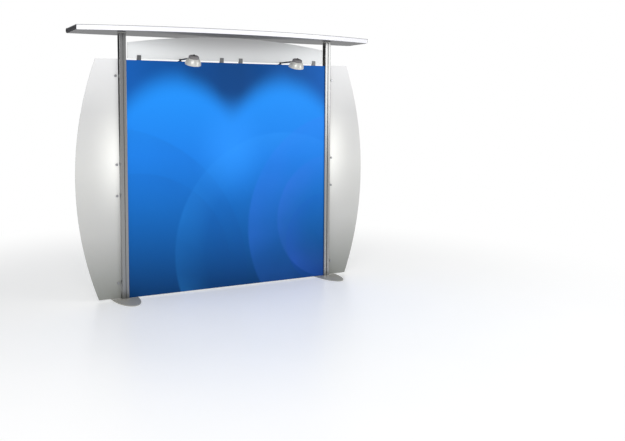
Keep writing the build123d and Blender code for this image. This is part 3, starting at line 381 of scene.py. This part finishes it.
def turned(profile, base, axis, count, flute=None):
    """A profile of radius and height turned round an axis, as points on a grid and its UV.

    Each point is base + height * axis + radius * (cos(t) * side + sin(t) * other). flute, if given, is a
    function of the row and t that multiplies the radius. U is the turn and V the way along the profile.
    """
    axis = np.array(axis, float)
    side = np.array((1.0, 0.0, 0.0))
    other = np.cross(axis, side)
    t = np.linspace(0, 2 * math.pi, count, endpoint=False)
    rows = np.arange(len(profile))
    scale = np.ones((len(profile), count)) if flute is None else flute(rows[:, None], t[None, :])
    radius = profile[:, :1] * scale * MM
    ring = np.cos(t)[None, :, None] * side + np.sin(t)[None, :, None] * other
    points = np.array(base) + profile[:, 1][:, None, None] * MM * axis + radius[:, :, None] * ring
    way = np.r_[0, np.cumsum(np.hypot(*np.diff(profile, axis=0).T))] * MM
    uv = np.stack(np.broadcast_arrays(t[None, :] / (2 * math.pi), way[:, None]), axis=-1)
    return points.reshape(-1, 3), uv.reshape(-1, 2)


def tube(path, reference, radius, count=8):
    """A round tube along a path: at each point a circle across the path's direction.

    The circle's first direction is the cross product of the path's direction and the reference.
    """
    way = np.gradient(path, axis=0)
    way /= np.linalg.norm(way, axis=1, keepdims=True)
    first = np.cross(way, reference)
    first /= np.linalg.norm(first, axis=1, keepdims=True)
    second = np.cross(way, first)
    t = np.linspace(0, 2 * math.pi, count, endpoint=False)
    ring = np.cos(t)[None, :, None] * first[:, None, :] + np.sin(t)[None, :, None] * second[:, None, :]
    return (path[:, None, :] + radius * ring).reshape(-1, 3)


def piece(name, points, faces, body, slot, replaced=(), uv=None, ends=()):
    """A smooth-shaded mesh from points, quads and end polygons, closed, facing outwards, riding on a body."""
    mesh = bpy.data.meshes.new(name)
    mesh.from_pydata(points.tolist(), [], faces.tolist() + [list(end) for end in ends])
    if uv is not None:
        layer = mesh.uv_layers.new(name="UVMap")
        corner = np.zeros(len(mesh.loops), int)
        mesh.loops.foreach_get("vertex_index", corner)
        layer.data.foreach_set("uv", uv[corner].ravel())
    solid = bmesh.new()
    solid.from_mesh(mesh)
    bmesh.ops.remove_doubles(solid, verts=solid.verts, dist=1e-6)
    bmesh.ops.recalc_face_normals(solid, faces=solid.faces)
    solid.to_mesh(mesh)
    solid.free()
    mesh.polygons.foreach_set("use_smooth", np.ones(len(mesh.polygons), bool))
    mesh.materials.append(finishes[slot])
    made = bpy.data.objects.new(name, mesh)
    bpy.context.scene.collection.objects.link(made)
    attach(made, body)
    if replaced:
        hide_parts(*replaced)
    return made


inlets = {m["name"]: m for m in frame["record"]["mounts"]}

# profiles of the lamp's turned pieces, as radius and height above the rim in millimetres
SHADE_ROWS = 40
bead = arc((71.4, 2.2), (70.0, 0.1), (68.6, 2.2), 10)
shade_profile = np.r_[arc((47.0, 56.0), (65.5, 27.0), (71.0, 4.0), SHADE_ROWS), bead,
                      arc((69.2, 4.0), (64.1, 26.4), (46.2, 54.5), 32), [(34.0, 54.5), (34.0, 56.0)]]
# two rolled rings stiffen the shade: each is a bell curve on the profile, pressed inwards
RING_HEIGHTS, RING_WIDTH, RING_DEPTH = np.array([50.0, 42.0]), 1.1, 0.5
ridges = np.exp(-((shade_profile[:, 1:] - RING_HEIGHTS) / RING_WIDTH) ** 2).sum(1)
shade_profile[:SHADE_ROWS, 0] -= RING_DEPTH * ridges[:SHADE_ROWS]
reflector_profile = np.r_[arc((63.5, 5.5), (54.0, 32.0), (25.0, 53.2), 30), [(12.4, 53.2), (12.4, 52.2)],
                          arc((24.7, 52.2), (53.2, 31.4), (62.5, 5.5), 30)]
REFLECTOR_BACK_ROWS, REFLECTOR_FLUTES = 32, 24
capsule_profile = np.r_[arc((0.0, 26.0), (4.6, 27.9), (6.5, 32.5), 12),
                        [(6.5, 51.0), (6.5, 62.0), (5.6, 62.0), (5.6, 51.0)],
                        arc((5.6, 32.5), (3.96, 28.54), (0.0, 26.9), 12)]
# the filament, in millimetres: a coil and the two legs that carry it
COIL_TURNS, COIL_LOW, COIL_HIGH, COIL_RADIUS, LEG_OUT, LEG_TOP, WIRE = 13.5, 34.0, 43.0, 1.6, 2.6, 58.0, 0.28


def flutes(row, t):
    """The reflector's inner face has shallow flutes: its radius dips by a fiftieth between them."""
    return 1 - 0.02 * (row >= REFLECTOR_BACK_ROWS) * np.abs(np.sin(REFLECTOR_FLUTES / 2 * t))


GLASS_HEIGHT = 3.5                         # the middle of the glass above the rim
for side in ("left", "right"):
    low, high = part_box(f"{side}_lamp_glass")
    rise = Vector(inlets[f"{side}_cord_inlet"]["axis"]).normalized()
    rim = (low + high) / 2 - rise * GLASS_HEIGHT * MM
    head = f"{side}_head"
    points, uv = turned(shade_profile, rim, rise, 96)
    piece(f"{side}_spun_shade", points, grid_faces(len(shade_profile), 96, True), head, "lamp_shade",
          (f"{side}_lamp_shade",), uv)
    points, uv = turned(reflector_profile, rim, rise, 144, flutes)
    piece(f"{side}_fluted_reflector", points, grid_faces(len(reflector_profile), 144, True), head,
          "reflector", (f"{side}_lamp_reflector",), uv)
    points, uv = turned(capsule_profile, rim, rise, 40)
    piece(f"{side}_quartz_capsule", points, grid_faces(len(capsule_profile), 40, False), head, "bulb",
          (f"{side}_lamp_bulb",), uv)
    # the coil's two ends lie on opposite sides, and each runs out to its own leg
    axis, across = np.array(rise), np.array((1.0, 0.0, 0.0))
    other = np.cross(axis, across)
    t = np.linspace(0, COIL_TURNS * 2 * math.pi, int(COIL_TURNS * 16))
    height = np.linspace(COIL_LOW, COIL_HIGH, len(t))
    coil = (np.array(rim) + height[:, None] * MM * axis
            + COIL_RADIUS * MM * (np.cos(t)[:, None] * across + np.sin(t)[:, None] * other))
    parts = [(tube(coil, axis, WIRE * MM), len(coil))]
    for sign, foot in ((1, COIL_LOW), (-1, COIL_HIGH)):
        outwards = np.array([COIL_RADIUS, LEG_OUT, LEG_OUT, LEG_OUT]) * sign
        upwards = np.array([foot, foot + 0.6, foot + 2.0, LEG_TOP])
        leg = np.array(rim) + MM * (upwards[:, None] * axis + outwards[:, None] * across)
        parts.append((tube(leg, other, WIRE * MM), len(leg)))
    points, faces, ends, count = [], [], [], 0
    for ring_points, rings in parts:
        points.append(ring_points)
        faces.append(grid_faces(rings, 8, False) + count)
        ends += [range(count, count + 8), range(count + 8 * rings - 8, count + 8 * rings)]
        count += len(ring_points)
    piece(f"{side}_filament", np.concatenate(points), np.concatenate(faces), head, "filament", ends=ends)

# ---------------------------------------------------------------- floor, world, lights and camera
FLOOR_HALF = 30.0
FADE_START, FADE_END = 1.6, 4.5            # the floor fades to plain white between these distances
floor_mesh = bpy.data.meshes.new("studio_floor")
corners = ((-1, -1), (1, -1), (1, 1), (-1, 1))
floor_mesh.from_pydata([(x * FLOOR_HALF, y * FLOOR_HALF, 0.0) for x, y in corners], [], [(0, 1, 2, 3)])
floor_look, tree, shader = start("pale_studio_floor", Roughness=0.35, Specular_IOR_Level=0.3,
                                 Emission_Color=linear("#FFFFFF"), Emission_Strength=0.22)
place = add(tree, "TexCoord").outputs["Object"]
distance = add(tree, "VectorMath", {0: place}, operation="LENGTH").outputs["Value"]
far = add(tree, "MapRange", {"Value": distance, "From Min": FADE_START, "From Max": FADE_END},
          interpolation_type="SMOOTHSTEP").outputs[0]
mottle = add(tree, "TexNoise", {"Vector": place, "Scale": 2.0}).outputs["Fac"]
pale = add(tree, "Mix", {FACTOR: mottle, COLOUR_A: linear("#F4F5F5"), COLOUR_B: linear("#EEF0F0")},
           data_type="RGBA").outputs[COLOUR_OUT]
tree.links.new(pale, shader.inputs["Base Color"])
white = add(tree, "Emission", {"Color": linear("#FFFFFF"), "Strength": 1.0})
blend = add(tree, "MixShader", {0: far, 1: shader.outputs[0], 2: white.outputs[0]})
output = next(n for n in tree.nodes if n.type == "OUTPUT_MATERIAL")
tree.links.new(blend.outputs[0], output.inputs["Surface"])
floor_mesh.materials.append(floor_look)
floor = bpy.data.objects.new("studio_floor", floor_mesh)
bpy.context.scene.collection.objects.link(floor)

# the viewer stands at eye height, to the left of the wall's middle, turned towards it and looking down
YAW, PITCH = math.radians(26.55), math.radians(4.39)
EYE_LEFT, EYE_BACK, EYE_HEIGHT = 2.9334, 6.374, 1.6936
LENS_MM, SENSOR_MM, SHIFT = 42.58, 36.0, (0.0908, -0.0852)
world = bpy.data.worlds.new("soft_studio")
world.use_nodes = True
sky = world.node_tree
sky.nodes.clear()
# a white backdrop behind the object, and a greyer room round the rest
direction = add(sky, "TexCoord").outputs["Generated"]
towards = add(sky, "VectorMath", {0: direction, 1: (math.sin(YAW), math.cos(YAW), 0.0)},
              operation="DOT_PRODUCT").outputs["Value"]
backdrop = add(sky, "MapRange", {"Value": towards, "From Min": 0.6, "From Max": 0.9},
               interpolation_type="SMOOTHSTEP").outputs[0]
tone = add(sky, "Mix", {FACTOR: backdrop, COLOUR_A: (0.5, 0.5, 0.51, 1.0), COLOUR_B: (1.0, 1.0, 1.0, 1.0)},
           data_type="RGBA").outputs[COLOUR_OUT]
# a black flag at the back left gives the uprights' outer faces a dark edge to reflect
flagged = add(sky, "VectorMath", {0: direction, 1: (-math.sin(YAW), math.cos(YAW), 0.0)},
              operation="DOT_PRODUCT").outputs["Value"]
flag = add(sky, "MapRange", {"Value": flagged, "From Min": 0.72, "From Max": 0.93},
           interpolation_type="SMOOTHSTEP").outputs[0]
tone = add(sky, "Mix", {FACTOR: flag, COLOUR_A: tone, COLOUR_B: (0.01, 0.01, 0.01, 1.0)},
           data_type="RGBA").outputs[COLOUR_OUT]
light = add(sky, "Background", {"Color": tone, "Strength": 1.0})
# seen directly, the room is plain white; the soft tones above only light the object
plain = add(sky, "Background", {"Color": (1.0, 1.0, 1.0, 1.0), "Strength": 1.0})
seen = add(sky, "LightPath").outputs["Is Camera Ray"]
room = add(sky, "MixShader", {0: seen, 1: light.outputs[0], 2: plain.outputs[0]})
add(sky, "OutputWorld", {"Surface": room.outputs[0]})
bpy.context.scene.world = world


def softbox(name, place, target, width, height, power):
    """A rectangular soft light at place, turned to face target."""
    lamp = bpy.data.lights.new(name, "AREA")
    lamp.shape, lamp.size, lamp.size_y, lamp.energy = "RECTANGLE", width, height, power
    held = bpy.data.objects.new(name, lamp)
    held.location = place
    held.rotation_euler = (Vector(target) - Vector(place)).to_track_quat("-Z", "Y").to_euler()
    bpy.context.scene.collection.objects.link(held)


# name, place, target, width, height and power in watts
softbox("key_softbox", (-3.5, wall_y - 6.0, 4.2), (0, 0, 1.3), 4.0, 3.0, 170.0)
softbox("fill_softbox", (4.5, wall_y - 5.0, 2.8), (0, 0, 1.2), 3.0, 3.0, 90.0)

camera_data = bpy.data.cameras.new("studio_camera")
camera_data.lens, camera_data.sensor_width = LENS_MM, SENSOR_MM
camera_data.shift_x, camera_data.shift_y = SHIFT
camera_data.dof.use_dof = False
camera = bpy.data.objects.new("studio_camera", camera_data)
camera.location = (-EYE_LEFT, wall_y - EYE_BACK, EYE_HEIGHT)
camera.rotation_euler = (math.pi / 2 - PITCH, 0.0, -YAW)
bpy.context.scene.collection.objects.link(camera)
bpy.context.scene.camera = camera
bpy.context.scene.view_settings.view_transform = "Standard"
